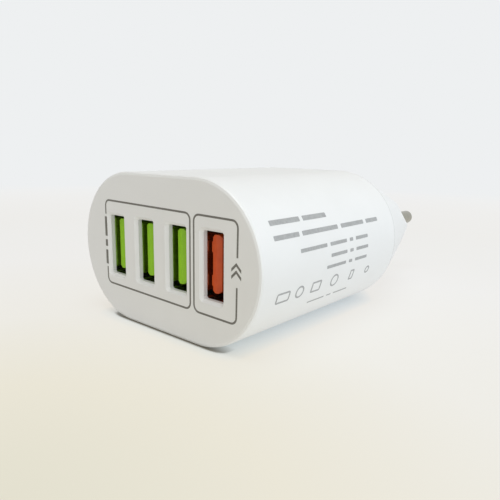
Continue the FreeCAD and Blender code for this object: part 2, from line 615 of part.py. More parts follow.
# Safety disc capacitor, behind the transistor
y_disc = y_transistor + TRANSISTOR_WIDTH / 2 + PART_GAP + DISC_DIAMETER / 2
z_disc = Z_BOARD_TOP + DISC_LIFT + DISC_DIAMETER / 2
disc = Part.makeCylinder(DISC_DIAMETER / 2, DISC_THICKNESS,
                         FreeCAD.Vector(x_column - DISC_THICKNESS / 2, y_disc, z_disc), X_AXIS)
write("safety_capacitor", joined([disc] + leads(x_column, y_disc, DISC_LEAD_PITCH, 2, "y", z_disc)))

# Line choke: a core with square ends and the winding round its post, at the rear left of the board
y_choke = y_core + CORE_WIDTH / 2 + PART_GAP + CHOKE_SIZE / 2
x_choke = x_left + CHOKE_SIZE / 2
coil_size = CHOKE_SIZE - 2 * CHOKE_WIRE_MARGIN
z_low = Z_BOARD_TOP + CHOKE_FLANGE
z_high = Z_BOARD_TOP + CHOKE_HEIGHT - CHOKE_FLANGE
pieces = [centred(x_choke, CHOKE_SIZE, y_choke, CHOKE_SIZE, z, z + CHOKE_FLANGE)
          for z in (Z_BOARD_TOP, z_high)]
centre = centred(x_choke, CHOKE_POST, y_choke, CHOKE_POST, z_low, z_high)
feet = leads(x_choke, y_choke, CHOKE_LEAD_PITCH, 2, "x", Z_BOARD_TOP + LEAD_SIZE)
write("choke_core", joined(pieces + [centre] + feet))
coil = centred(x_choke, coil_size, y_choke, coil_size, z_low, z_high)
coil = coil.makeChamfer(CASE_CHAMFER, [e for e in coil.Edges if e.BoundBox.ZLength > CHOKE_FLANGE])
write("choke_winding", coil.cut(centre))

# Suppression box capacitor, behind the transformer
y_box = y_core + CORE_WIDTH / 2 + PART_GAP + BOX_CAP_THICKNESS / 2
x_box = x_choke + CHOKE_SIZE / 2 + PART_GAP + BOX_CAP_LENGTH / 2
case = centred(x_box, BOX_CAP_LENGTH, y_box, BOX_CAP_THICKNESS, Z_BOARD_TOP, Z_BOARD_TOP + BOX_CAP_HEIGHT)
legs = leads(x_box, y_box, BOX_CAP_LEAD_PITCH, 2, "x", Z_BOARD_TOP + LEAD_SIZE)
write("suppression_capacitor", joined([chamfered_top(case)] + legs))

# Fuse in a box case, behind the bulk capacitors
y_fuse = y_bulk + BULK_CAP_DIAMETER * 1.5 + 2 * PART_GAP + FUSE_THICKNESS / 2
x_fuse = x_right - FUSE_LENGTH / 2
case = centred(x_fuse, FUSE_LENGTH, y_fuse, FUSE_THICKNESS, Z_BOARD_TOP, Z_BOARD_TOP + FUSE_HEIGHT)
legs = leads(x_fuse, y_fuse, FUSE_LEAD_PITCH, 2, "x", Z_BOARD_TOP + LEAD_SIZE)
write("fuse", joined([chamfered_top(case)] + legs))

# Output rectifier against its finned heat sink, at the front left of the board
sink_back = Y_PARTS + SINK_FIN_DEPTH + SINK_BASE
z1 = Z_BOARD_TOP + SINK_HEIGHT
plates = [box(x_left, x_left + SINK_WIDTH, sink_back - SINK_BASE, sink_back, Z_BOARD_TOP, z1)]
for i in range(SINK_FIN_COUNT):
    fin_x = x_left + i * (SINK_WIDTH - SINK_FIN_THICKNESS) / (SINK_FIN_COUNT - 1)
    plates.append(box(fin_x, fin_x + SINK_FIN_THICKNESS, Y_PARTS, sink_back - SINK_BASE, Z_BOARD_TOP, z1))
write("heat_sink", joined(plates))
x = x_left + SINK_WIDTH / 2
y = sink_back + RECTIFIER_THICKNESS / 2
z0 = Z_BOARD_TOP + RECTIFIER_LIFT
case = centred(x, RECTIFIER_WIDTH, y, RECTIFIER_THICKNESS, z0, z0 + RECTIFIER_HEIGHT)
legs = leads(x, y, RECTIFIER_LEAD_PITCH, 2, "x", z0 + LEAD_SIZE)
write("output_rectifier", joined([case] + legs))

# Main board, with tabs through the socket board
half = MAIN_BOARD_WIDTH / 2
corner = MAIN_BOARD_CORNER
outline = [(-half, Y_MAIN_BOARD), (half, Y_MAIN_BOARD), (half, Y_MAIN_BOARD_END - corner),
           (half - corner, Y_MAIN_BOARD_END), (-half + corner, Y_MAIN_BOARD_END),
           (-half, Y_MAIN_BOARD_END - corner), (-half, Y_MAIN_BOARD)]
wire = Part.makePolygon([FreeCAD.Vector(x, y, MAIN_BOARD_UNDERSIDE) for x, y in outline])
board = [Part.Face(wire).extrude(FreeCAD.Vector(0, 0, BOARD_THICKNESS))]
for x in BOARD_TAB_XS:
    half = BOARD_TAB_WIDTH / 2
    board.append(box(x - half, x + half, Y_SOCKET_BOARD, Y_MAIN_BOARD, MAIN_BOARD_UNDERSIDE, Z_BOARD_TOP))
write("main_board", joined(board).cut(Part.makeCompound(board_cuts)))


def package(length, width, thickness, lead_width, lead_pitch, leads_a_side, place):
    """Moulded package with gull-wing leads along two sides, standing on z = 0 before it is placed."""
    middle = (PACKAGE_STANDOFF + thickness) / 2
    polygons = []
    for z, inset in ((PACKAGE_STANDOFF, PACKAGE_DRAFT), (middle, 0), (thickness, PACKAGE_DRAFT)):
        a = length / 2 - inset
        b = width / 2 - inset
        polygons.append([FreeCAD.Vector(x, y, z) for x, y in ((-a, -b), (a, -b), (a, b), (-a, b))])
    solids = [frustum(polygons[0], polygons[1]), frustum(polygons[1], polygons[2])]
    for i in range(leads_a_side):
        x0 = lead_pitch * (i - (leads_a_side - 1) / 2) - lead_width / 2
        path = [(width / 2 - PACKAGE_DRAFT, middle), (width / 2 + PACKAGE_LEAD_FOOT, 0),
                (width / 2 + 2 * PACKAGE_LEAD_FOOT, 0)]
        lead = strip(path, PACKAGE_LEAD_THICKNESS, "x", x0, lead_width)
        solids += [lead, lead.mirror(FreeCAD.Vector(), Y_AXIS)]
    made = joined(solids)
    made.Placement = place
    return made


# Packages under the main board: the bridge below the box capacitor, the two others below the transformer
under = FreeCAD.Rotation(X_AXIS, 180)
place = FreeCAD.Placement(FreeCAD.Vector(x_box, y_box, MAIN_BOARD_UNDERSIDE), under)
write("bridge_rectifier",
      package(BRIDGE_LENGTH, BRIDGE_WIDTH, BRIDGE_THICKNESS, BRIDGE_LEAD_WIDTH,
              BRIDGE_LEAD_PITCH, 2, place))
x = x_core - CONTROLLER_LENGTH / 2 - PART_GAP
place = FreeCAD.Placement(FreeCAD.Vector(x, y_core, MAIN_BOARD_UNDERSIDE), under)
write("controller",
      package(CONTROLLER_LENGTH, CONTROLLER_WIDTH, CONTROLLER_THICKNESS, CONTROLLER_LEAD_WIDTH,
              CONTROLLER_LEAD_PITCH, 3, place))
x = x_core + OPTOCOUPLER_LENGTH / 2 + PART_GAP
place = FreeCAD.Placement(FreeCAD.Vector(x, y_core, MAIN_BOARD_UNDERSIDE), under)
write("optocoupler",
      package(OPTOCOUPLER_LENGTH, OPTOCOUPLER_WIDTH, OPTOCOUPLER_THICKNESS, OPTOCOUPLER_LEAD_WIDTH,
              OPTOCOUPLER_LEAD_PITCH, 2, place))

# Charging controllers on the back of the socket board
behind = FreeCAD.Rotation(X_AXIS, -90)
for number, x in enumerate(BOARD_TAB_XS, 1):
    place = FreeCAD.Placement(FreeCAD.Vector(x, Y_MAIN_BOARD, Z_MID + CHARGER_RISE), behind)
    write("charge_controller_%d" % number,
          package(CHARGER_LENGTH, CHARGER_WIDTH, CHARGER_THICKNESS, CHARGER_LEAD_WIDTH,
                  CHARGER_LEAD_PITCH, 2, place))
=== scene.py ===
import math

import bmesh
import bpy
from mathutils import Matrix, Vector


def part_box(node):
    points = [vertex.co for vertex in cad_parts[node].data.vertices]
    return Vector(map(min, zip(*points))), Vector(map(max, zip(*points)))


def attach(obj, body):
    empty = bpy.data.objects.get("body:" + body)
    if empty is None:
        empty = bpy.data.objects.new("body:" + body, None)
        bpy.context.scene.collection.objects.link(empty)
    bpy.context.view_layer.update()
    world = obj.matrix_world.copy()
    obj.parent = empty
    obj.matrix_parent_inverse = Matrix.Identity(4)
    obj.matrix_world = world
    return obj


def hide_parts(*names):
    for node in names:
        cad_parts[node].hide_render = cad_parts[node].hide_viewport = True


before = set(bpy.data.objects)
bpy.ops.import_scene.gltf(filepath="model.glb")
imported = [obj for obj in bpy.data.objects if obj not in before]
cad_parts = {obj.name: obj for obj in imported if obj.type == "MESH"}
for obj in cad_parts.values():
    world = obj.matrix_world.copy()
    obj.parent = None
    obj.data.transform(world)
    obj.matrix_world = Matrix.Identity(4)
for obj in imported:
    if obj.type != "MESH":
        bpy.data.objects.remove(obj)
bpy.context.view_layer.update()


# Socket shells: four USB-A cans folded from nickel-plated steel strip, with spring fingers pressed out of
# the wide walls. They are rolled along their length, so the grain runs into the socket.
MM = 0.001
SOCKETS = (1, 2, 3, 4)
NOISE_LOW = 0.3
NOISE_HIGH = 0.7
GRAIN_DEPTH = 0.1 * MM


def plain_finish(name, **settings):
    """A new material and its shader, with the shader's own sockets set."""
    material = bpy.data.materials.new(name)
    material.use_nodes = True
    shader = material.node_tree.nodes["Principled BSDF"]
    for socket, value in settings.items():
        shader.inputs[socket.replace("_", " ")].default_value = value
    return material, shader


def wire(source, socket):
    source.id_data.links.new(source, socket)


def add_node(shader, kind, *feeds, **settings):
    """A node beside the shader, with its values set and the feeds wired to its inputs in order."""
    node = shader.id_data.nodes.new(kind)
    for name, value in settings.items():
        if name in node.inputs:
            node.inputs[name].default_value = value
        else:
            setattr(node, name, value)
    for feed, socket in zip(feeds, node.inputs):
        wire(feed, socket)
    return node


def spread(shader, source, low, high, to_low=0.0, to_high=1.0, smooth=False):
    """The source's range from low to high, spread from to_low to to_high and held at both ends."""
    node = add_node(shader, "ShaderNodeMapRange", source)
    if smooth:
        node.interpolation_type = "SMOOTHSTEP"
    for name, value in zip(("From Min", "From Max", "To Min", "To Max"), (low, high, to_low, to_high)):
        node.inputs[name].default_value = value
    return node.outputs["Result"]


def roughen(shader, height, strength, depth):
    """Raises the surface a little by the height."""
    relief = add_node(shader, "ShaderNodeBump", Strength=strength, Distance=depth)
    wire(height, relief.inputs["Height"])
    wire(relief.outputs["Normal"], shader.inputs["Normal"])


def mottle(shader, scale, dark, light, rough, stretch=(1, 1, 1), bump=0.0, detail=4.0):
    """Noise laid on the piece: it shifts the colour and the gloss a little, and roughens the surface."""
    place = add_node(shader, "ShaderNodeTexCoord").outputs["Object"]
    turn = add_node(shader, "ShaderNodeMapping", place, Scale=stretch)
    noise = add_node(shader, "ShaderNodeTexNoise", turn.outputs["Vector"], Scale=scale, Detail=detail)
    grain = noise.outputs["Fac"]
    colour = add_node(shader, "ShaderNodeValToRGB", grain)
    ends = colour.color_ramp.elements
    for end, position, tint in zip(ends, (NOISE_LOW, NOISE_HIGH), (dark, light)):
        end.position = position
        end.color = (*tint, 1)
    wire(colour.outputs["Color"], shader.inputs["Base Color"])
    wire(spread(shader, grain, NOISE_LOW, NOISE_HIGH, *rough), shader.inputs["Roughness"])
    if bump:
        roughen(shader, grain, bump, GRAIN_DEPTH)
    return colour.outputs["Color"]


def dress(material, *nodes):
    for node in nodes:
        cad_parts[node].material_slots[0].material = material


socket_steel, shader = plain_finish("rolled_nickel_steel", Metallic=1.0)
mottle(shader, 900, (0.40, 0.40, 0.38), (0.50, 0.50, 0.47), (0.14, 0.22), stretch=(1, 0.06, 1), bump=0.06)
dress(socket_steel, *["usb_shell_%d" % i for i in SOCKETS])


# Tongues: injection-moulded plastic, three coloured green and the fast-charging one orange, each with its
# own block that closes the back of the can.
tongue_green, shader = plain_finish("green_tongue_plastic", IOR=1.45)
mottle(shader, 700, (0.290, 0.620, 0.008), (0.330, 0.680, 0.014), (0.30, 0.40), bump=0.05)
dress(tongue_green, "usb_tongue_1", "usb_tongue_2", "usb_tongue_3")
tongue_orange, shader = plain_finish("orange_tongue_plastic", IOR=1.45)
mottle(shader, 700, (0.620, 0.072, 0.006), (0.690, 0.092, 0.010), (0.30, 0.40), bump=0.05)
dress(tongue_orange, "usb_tongue_4")


# Socket contacts: four gilt phosphor-bronze springs to a socket, pressed into the tongue's grooves and
# soldered through the board behind.
contact_gold, shader = plain_finish("gilt_contact", Metallic=1.0)
mottle(shader, 1200, (0.78, 0.56, 0.24), (0.90, 0.70, 0.34), (0.16, 0.30), stretch=(1, 0.1, 1), bump=0.05)
dress(contact_gold, *["usb_contacts_%d" % i for i in SOCKETS])


# Boards: glass-fibre sheet under green solder mask. The copper tracks show through as paler runs, and the
# weave of the cloth as a fine grain.
TRACK_SCALE = 300.0
TRACK_WIDTH = 0.04
TRACK_GREEN = (0.035, 0.21, 0.065, 1)

board_green, shader = plain_finish("solder_mask", Coat_Weight=0.3)
mask = mottle(shader, 1500, (0.012, 0.090, 0.030), (0.018, 0.125, 0.042), (0.28, 0.40), bump=0.1)
place = add_node(shader, "ShaderNodeTexCoord").outputs["Object"]
tracks = add_node(shader, "ShaderNodeTexBrick", place, Scale=TRACK_SCALE, offset=0.5, Color1=(0, 0, 0, 1),
                  Color2=(0, 0, 0, 1), Mortar=(1, 1, 1, 1))
tracks.inputs["Mortar Size"].default_value = TRACK_WIDTH
over = add_node(shader, "ShaderNodeMix", tracks.outputs["Color"], data_type="RGBA", B=TRACK_GREEN)
wire(mask, over.inputs["A"])
wire(over.outputs["Result"], shader.inputs["Base Color"])
dress(board_green, "socket_board", "main_board")


# Black mouldings: the epoxy bodies of the chips, the rectifiers, the transistor and the fuse, matt from the
# mould, soldered to the boards by their leads.
epoxy_black, shader = plain_finish("moulded_epoxy")
mottle(shader, 2600, (0.012, 0.012, 0.013), (0.026, 0.026, 0.027), (0.52, 0.72), bump=0.3)
dress(epoxy_black, "fuse", "bridge_rectifier", "controller", "optocoupler", "switching_transistor",
      "output_rectifier", "charge_controller_1", "charge_controller_2")


# Transformer: two ferrite halves clamped round a black bobbin with yellow polyester tape over its winding,
# on tinned pins. The choke beside it is a ferrite drum wound with enamelled copper.
ferrite, shader = plain_finish("sintered_ferrite")
mottle(shader, 3000, (0.014, 0.014, 0.016), (0.040, 0.040, 0.043), (0.45, 0.65), bump=0.4)
dress(ferrite, "transformer_core_left", "transformer_core_right", "choke_core")
bobbin, shader = plain_finish("black_bobbin_plastic")
mottle(shader, 1400, (0.012, 0.012, 0.014), (0.022, 0.022, 0.025), (0.32, 0.46), bump=0.12)
dress(bobbin, "transformer_bobbin")
tape, shader = plain_finish("polyester_tape", Coat_Weight=0.4)
mottle(shader, 500, (0.64, 0.40, 0.02), (0.74, 0.49, 0.03), (0.22, 0.36), stretch=(0.2, 0.2, 6), bump=0.2)
dress(tape, "transformer_winding")
tinned, shader = plain_finish("tinned_pin", Metallic=1.0)
mottle(shader, 1600, (0.54, 0.54, 0.53), (0.70, 0.70, 0.69), (0.30, 0.48), bump=0.2)
dress(tinned, "transformer_pins")
enamelled_copper, shader = plain_finish("enamelled_copper", Metallic=1.0, Coat_Weight=0.6)
mottle(shader, 300, (0.36, 0.105, 0.030), (0.56, 0.210, 0.070), (0.20, 0.34), stretch=(0.5, 14, 0.5),
       bump=0.6)
dress(enamelled_copper, "choke_winding")


# Capacitors: aluminium cans in shrunk plastic sleeves, a boxed film capacitor in yellow, and a blue-dipped
# ceramic disc, all soldered to the main board by their leads.
can_dark, shader = plain_finish("dark_can_sleeve", Coat_Weight=0.3)
mottle(shader, 500, (0.006, 0.008, 0.020), (0.012, 0.015, 0.034), (0.20, 0.32), stretch=(1, 1, 0.1),
       bump=0.1)
dress(can_dark, "bulk_capacitor_1", "bulk_capacitor_2")
can_green, shader = plain_finish("green_can_sleeve", Coat_Weight=0.3)
mottle(shader, 500, (0.006, 0.055, 0.032), (0.012, 0.080, 0.048), (0.20, 0.32), stretch=(1, 1, 0.1),
       bump=0.1)
dress(can_green, "output_capacitor_1", "output_capacitor_2")
box_yellow, shader = plain_finish("yellow_box_plastic")
mottle(shader, 1100, (0.56, 0.33, 0.012), (0.66, 0.41, 0.020), (0.34, 0.50), bump=0.15)
dress(box_yellow, "suppression_capacitor")
disc_blue, shader = plain_finish("blue_dip", Coat_Weight=0.5)
mottle(shader, 650, (0.010, 0.045, 0.26), (0.022, 0.075, 0.36), (0.20, 0.38), bump=0.4)
dress(disc_blue, "safety_capacitor")


# Heat sink: a cut length of finned aluminium, with the marks of drawing along its height. It stands on the
# main board and carries the output rectifier on its back.
sheet_aluminium, shader = plain_finish("brushed_aluminium", Metallic=1.0)
mottle(shader, 1400, (0.60, 0.61, 0.62), (0.76, 0.77, 0.78), (0.28, 0.46), stretch=(1, 1, 0.05), bump=0.2)
dress(sheet_aluminium, "heat_sink")


# Plug: two nickel-plated brass pins turned from bar, with rounded tips, in white insulating sleeves. They
# lean towards each other, and brass strips press on their inner ends and lead to the main board.
PIN_RADIUS = 2.0 * MM
SHANK_RADIUS = 1.5 * MM
PIN_INSIDE = 9.0 * MM
PIN_OUTSIDE = 19.0 * MM
SLEEVE_END = 10.0 * MM
TIP_ROUND = 1.3 * MM
PIN_SPACING = 18.6 * MM
TIP_SPACING = 17.5 * MM
PIN_LEAN = math.atan2((PIN_SPACING - TIP_SPACING) / 2, PIN_OUTSIDE)
COVER_LOW, COVER_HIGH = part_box("rear_cover")
PLUG_Y = COVER_HIGH.y
PLUG_Z = (COVER_LOW.z + COVER_HIGH.z) / 2
PIN_SIDES = 48
TIP_STEPS = 8
SHARP_EDGE = math.radians(40)
WELD = 0.001 * MM
RIM_FINDER = 0.01 * MM

pin_nickel, shader = plain_finish("turned_nickel_pin", Metallic=1.0)
mottle(shader, 900, (0.355, 0.340, 0.280), (0.390, 0.375, 0.315), (0.275, 0.285), stretch=(0.01, 1, 0.01),
       detail=1.0)


def turned_pin(name, node, side):
    """Spins the half profile round the pin's axis, rounds the tip, and leans it into the plug face."""
    bm = bmesh.new()
    outline = ((0, -PIN_INSIDE), (SHANK_RADIUS, -PIN_INSIDE), (SHANK_RADIUS, SLEEVE_END),
               (PIN_RADIUS, SLEEVE_END), (PIN_RADIUS, PIN_OUTSIDE), (0, PIN_OUTSIDE))
    half = [bm.verts.new((radius, along, 0)) for radius, along in outline]
    sides = [bm.edges.new(pair) for pair in zip(half, half[1:])]
    bmesh.ops.spin(bm, geom=half + sides, cent=(0, 0, 0), axis=(0, 1, 0), angle=math.tau,
                   steps=PIN_SIDES, use_merge=True)
    bmesh.ops.remove_doubles(bm, verts=bm.verts[:], dist=WELD)
    rim = [e for e in bm.edges
           if all(abs(v.co.y - PIN_OUTSIDE) < RIM_FINDER and v.co.xz.length > SHANK_RADIUS for v in e.verts)]
    bmesh.ops.bevel(bm, geom=rim, offset=TIP_ROUND, offset_type="OFFSET", segments=TIP_STEPS,
                    profile=0.5, affect="EDGES", material=-1, clamp_overlap=True)
    bmesh.ops.rotate(bm, verts=bm.verts[:], cent=(0, 0, 0), matrix=Matrix.Rotation(side * PIN_LEAN, 3, "Z"))
    bmesh.ops.translate(bm, verts=bm.verts[:], vec=(side * PIN_SPACING / 2, PLUG_Y, PLUG_Z))
    bmesh.ops.recalc_face_normals(bm, faces=bm.faces[:])
    mesh = bpy.data.meshes.new(name)
    bm.to_mesh(mesh)
    bm.free()
    mesh.shade_smooth()
    mesh.set_sharp_from_angle(angle=SHARP_EDGE)
    mesh.materials.append(pin_nickel)
    pin = bpy.data.objects.new(name, mesh)
    bpy.context.scene.collection.objects.link(pin)
    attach(pin, "root")
    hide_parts(node)


turned_pin("turned_pin_left", "plug_pin_left", -1)
turned_pin("turned_pin_right", "plug_pin_right", 1)

sleeve_white, shader = plain_finish("pin_sleeve_plastic")
mottle(shader, 900, (0.70, 0.71, 0.71), (0.74, 0.75, 0.75), (0.42, 0.55), bump=0.12)
dress(sleeve_white, "pin_sleeve_left", "pin_sleeve_right")
strip_brass, shader = plain_finish("strip_brass", Metallic=1.0)
mottle(shader, 900, (0.62, 0.40, 0.15), (0.76, 0.53, 0.24), (0.24, 0.42), stretch=(1, 0.1, 1), bump=0.1)
dress(strip_brass, "mains_strip_left", "mains_strip_right")


# Housing: the body and the tapered cover, moulded in white plastic with a fine satin skin. They are welded
# on a line round the middle, where a hair of painted shade, a thin grey band, stands for the seam's shadow.
BODY_LOW, BODY_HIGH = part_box("body_shell")
SEAM_Y = BODY_HIGH.y
SEAM_DARK = 0.04 * MM
SEAM_FADED = 0.16 * MM
SEAM_STRENGTH = 0.75
SEAM_SHADE_GREY = (0.42, 0.42, 0.40, 1)
SKIN_SCALE = 4200.0
SKIN_RELIEF = 0.10
SKIN_DEPTH = 0.04 * MM

housing, shader = plain_finish("white_moulded_plastic", IOR=1.48)
skin = mottle(shader, 140, (0.775, 0.780, 0.777), (0.795, 0.800, 0.797), (0.34, 0.43), detail=8.0)
place = add_node(shader, "ShaderNodeTexCoord").outputs["Object"]
fine = add_node(shader, "ShaderNodeTexNoise", place, Scale=SKIN_SCALE, Detail=2.0)
roughen(shader, fine.outputs["Fac"], SKIN_RELIEF, SKIN_DEPTH)
along = add_node(shader, "ShaderNodeSeparateXYZ", place)
# Painted shade: a thin grey band laid into the colour along the seam, darkest at its middle.
off_seam = add_node(shader, "ShaderNodeMath", along.outputs["Y"], operation="SUBTRACT")
off_seam.inputs[1].default_value = SEAM_Y
away = add_node(shader, "ShaderNodeMath", off_seam.outputs["Value"], operation="ABSOLUTE")
painted_seam_shade = spread(shader, away.outputs["Value"], SEAM_DARK, SEAM_FADED, SEAM_STRENGTH, 0.0)
seam_shaded = add_node(shader, "ShaderNodeMix", painted_seam_shade, data_type="RGBA", B=SEAM_SHADE_GREY)
wire(skin, seam_shaded.inputs["A"])
wire(seam_shaded.outputs["Result"], shader.inputs["Base Color"])
dress(housing, "body_shell", "rear_cover")


# Front print: pad-printed grey lines round the sockets, one round the three green ones and one round the
# orange one, a little askew as such printing is. Plain bars and a double arrow stand in the lines' gaps.
FACE_Y = BODY_LOW.y
INK_PROUD = 0.02 * MM
INK_SUNK = 0.02 * MM
LINE_WIDTH = 0.38 * MM
LINE_CORNER = 1.5 * MM
BAR_CORNER = 0.15 * MM
GAP_REACH = 1.0 * MM
# In mm across and up the face: each line's corners, then the side, foot and head of its gap
THREE_CORNERS = ((-18.36, 7.11), (9.17, 6.64), (9.23, 25.47), (-18.36, 25.89))
THREE_GAP = (-18.36, 10.8, 22.6)
ONE_CORNERS = ((9.81, 6.62), (21.04, 6.43), (21.26, 25.28), (9.88, 25.46))
ONE_GAP = (21.15, 13.4, 18.7)
BARS_LEFT = -18.65
BARS_RIGHT = -17.85
BARS = ((11.4, 14.6), (15.4, 16.9), (17.7, 22.0))
ARROW_MIDDLE = 20.75
ARROW_HALF = 1.15
ARROW_RISE = 1.1
ARROW_STROKE = 0.6
ARROW_FEET = (14.8, 16.1)

ink_grey, shader = plain_finish("grey_pad_ink")
mottle(shader, 1800, (0.125, 0.120, 0.105), (0.175, 0.168, 0.150), (0.45, 0.62), bump=0.1)


def ink_field(bm, corners, round_off):
    """A flat field of ink before the front face, from corners in mm, with its corners rounded."""
    made = [bm.verts.new((x * MM, FACE_Y - INK_PROUD, z * MM)) for x, z in corners]
    bm.faces.new(made)
    if round_off:
        bmesh.ops.bevel(bm, geom=made, offset=round_off, offset_type="OFFSET", segments=6, profile=0.5,
                        affect="VERTICES", material=-1, clamp_overlap=True)


def ink_bar(bm, x0, x1, z0, z1, round_off=BAR_CORNER):
    ink_field(bm, ((x0, z0), (x1, z0), (x1, z1), (x0, z1)), round_off)


def open_up(bm, width):
    """Leaves a line of this width round the fields."""
    fields = bm.faces[:]
    bmesh.ops.inset_individual(bm, faces=fields, thickness=width, use_even_offset=True)
    bmesh.ops.delete(bm, geom=fields, context="FACES")


def cut_level(bm, z):
    """Cuts the fields along a level line, at a height in mm."""
    bmesh.ops.bisect_plane(bm, geom=bm.verts[:] + bm.edges[:] + bm.faces[:], plane_co=(0, 0, z * MM),
                           plane_no=(0, 0, 1))


def give_depth(bm):
    """Gives the fields the ink's thickness, half of it sunk in the surface."""
    grown = bmesh.ops.extrude_face_region(bm, geom=bm.faces[:], use_keep_orig=True)
    moved = [v for v in grown["geom"] if isinstance(v, bmesh.types.BMVert)]
    bmesh.ops.translate(bm, verts=moved, vec=(0, INK_PROUD + INK_SUNK, 0))


def print_piece(name, bm, ink):
    bmesh.ops.recalc_face_normals(bm, faces=bm.faces[:])
    mesh = bpy.data.meshes.new(name)
    bm.to_mesh(mesh)
    bm.free()
    mesh.materials.append(ink)
    piece = bpy.data.objects.new(name, mesh)
    bpy.context.scene.collection.objects.link(piece)
    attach(piece, "root")


def line_frame(name, corners, gap):
    """A rounded line round the corners, left open at one side, from a low to a high level."""
    gap_x, gap_low, gap_high = gap
    bm = bmesh.new()
    ink_field(bm, corners, LINE_CORNER)
    open_up(bm, LINE_WIDTH)
    cut_level(bm, gap_low)
    cut_level(bm, gap_high)
    cut = [f for f in bm.faces
           if abs(f.calc_center_median().x - gap_x * MM) < GAP_REACH
           and gap_low * MM < f.calc_center_median().z < gap_high * MM]
    bmesh.ops.delete(bm, geom=cut, context="FACES")
    give_depth(bm)
    print_piece(name, bm, ink_grey)


line_frame("front_print_frame_three", THREE_CORNERS, THREE_GAP)
line_frame("front_print_frame_one", ONE_CORNERS, ONE_GAP)

bm = bmesh.new()
for low, high in BARS:
    ink_bar(bm, BARS_LEFT, BARS_RIGHT, low, high)
give_depth(bm)
print_piece("front_print_bars", bm, ink_grey)

bm = bmesh.new()
arrow_left = ARROW_MIDDLE - ARROW_HALF
arrow_right = ARROW_MIDDLE + ARROW_HALF
for foot in ARROW_FEET:
    top = foot + ARROW_RISE
    ink_field(bm, ((arrow_left, foot), (ARROW_MIDDLE, top), (arrow_right, foot),
                   (arrow_right, foot + ARROW_STROKE), (ARROW_MIDDLE, top + ARROW_STROKE),
                   (arrow_left, foot + ARROW_STROKE)), 0)
give_depth(bm)
print_piece("front_print_arrows", bm, ink_grey)


# Side print: a block of paler grey bars with a row of plain outlined shapes below, pad-printed round the
# right-hand curve of the body in rows that run along its length.
CURVE_RADIUS = (BODY_HIGH.z - BODY_LOW.z) / 2
CURVE_X = BODY_HIGH.x - CURVE_RADIUS
CURVE_Z = BODY_LOW.z + CURVE_RADIUS
# In mm: each row's height on the curve and its bars' height, then where each bar starts and ends
SIDE_ROWS = (
    (9.02, 1.00, ((4.6, 13.4), (14.4, 22.2))),
    (6.20, 0.90, ((4.45, 11.8), (12.8, 24.9), (26.2, 35.2), (36.4, 41.5))),
    (3.07, 0.72, ((11.3, 20.0), (21.2, 27.3), (28.5, 29.8), (31.0, 36.0))),
    (0.82, 0.68, ((21.3, 27.3), (28.5, 29.8), (31.0, 36.0))),
    (-1.40, 0.64, ((20.0, 27.0), (28.2, 29.5), (30.7, 35.6))),
    (-8.65, 0.36, ((16.7, 22.6), (23.6, 25.2), (26.2, 31.5))),
)
MARKS_LINE = -4.9
MARKS_WIDTH = 0.36 * MM
MARKS_STEP = 0.45
# In mm: each shape's middle along the row, half its length, half its height, and its corners' radius
MARKS = (
    (6.9, 2.0, 1.1, 0.5),
    (12.0, 1.3, 1.3, 1.25),
    (17.4, 1.6, 1.2, 0.3),
    (24.0, 1.4, 1.4, 1.35),
    (30.7, 0.8, 1.2, 0.3),
    (37.4, 0.9, 0.9, 0.85),
)

ink_pale, shader = plain_finish("pale_grey_pad_ink")
mottle(shader, 1800, (0.330, 0.335, 0.335), (0.410, 0.415, 0.415), (0.45, 0.62), bump=0.1)


def lay_on_curve(bm):
    """Bends flat print round the curve: across it runs back from the face, and up it climbs the curve."""
    for v in bm.verts:
        turn = v.co.z / CURVE_RADIUS
        reach = CURVE_RADIUS + FACE_Y - v.co.y
        v.co = (CURVE_X + reach * math.cos(turn), FACE_Y + v.co.x, CURVE_Z + reach * math.sin(turn))


bm = bmesh.new()
for middle, height, bars in SIDE_ROWS:
    for start, end in bars:
        ink_bar(bm, start, end, middle - height / 2, middle + height / 2)
give_depth(bm)
lay_on_curve(bm)
print_piece("side_print_bars", bm, ink_pale)

bm = bmesh.new()
for middle, half_length, half_height, round_off in MARKS:
    ink_bar(bm, middle - half_length, middle + half_length, MARKS_LINE - half_height,
            MARKS_LINE + half_height, round_off * MM)
open_up(bm, MARKS_WIDTH)
for step in range(-2, 3):
    cut_level(bm, MARKS_LINE + MARKS_STEP * step)
give_depth(bm)
lay_on_curve(bm)
print_piece("side_print_marks", bm, ink_pale)


# Stage floor: a wide pale disc, warm before the charger, that fades into the backdrop. It glows a little,
# less where the charger stands close over it: a painted cool shadow there, a painted dark line under the
# face.
BACKDROP = (0.855, 0.871, 0.879)
FLOOR_RADIUS = 1.5
WARM_SPOT = (0.030, -0.100, 0)
FADE_REACH = 0.5
GROUND_STOPS = (
    (0.02, (0.815, 0.745, 0.570)),
    (0.07, (0.880, 0.800, 0.635)),
    (0.14, (0.920, 0.865, 0.780)),
    (0.26, (0.935, 0.892, 0.850)),
    (0.45, (0.915, 0.880, 0.840)),
    (0.95, BACKDROP),
)
GLOW_NEAR = 0.78
GLOW_FADE = (0.3, 0.9)
GLOW_SHADED = 0.36
SHADE_REACH = 3.5 * MM
CREASE_REACH = 1.8 * MM
CREASE_FADE = (0.50, 0.70)
CREASE_DEPTH = 4.0 * MM
CREASE_SHADE_BROWN = (0.24, 0.21, 0.16, 1)

bm = bmesh.new()
bmesh.ops.create_circle(bm, cap_ends=True, segments=64, radius=FLOOR_RADIUS)
mesh = bpy.data.meshes.new("floor")
bm.to_mesh(mesh)
bm.free()
floor = bpy.data.objects.new("floor", mesh)
bpy.context.scene.collection.objects.link(floor)

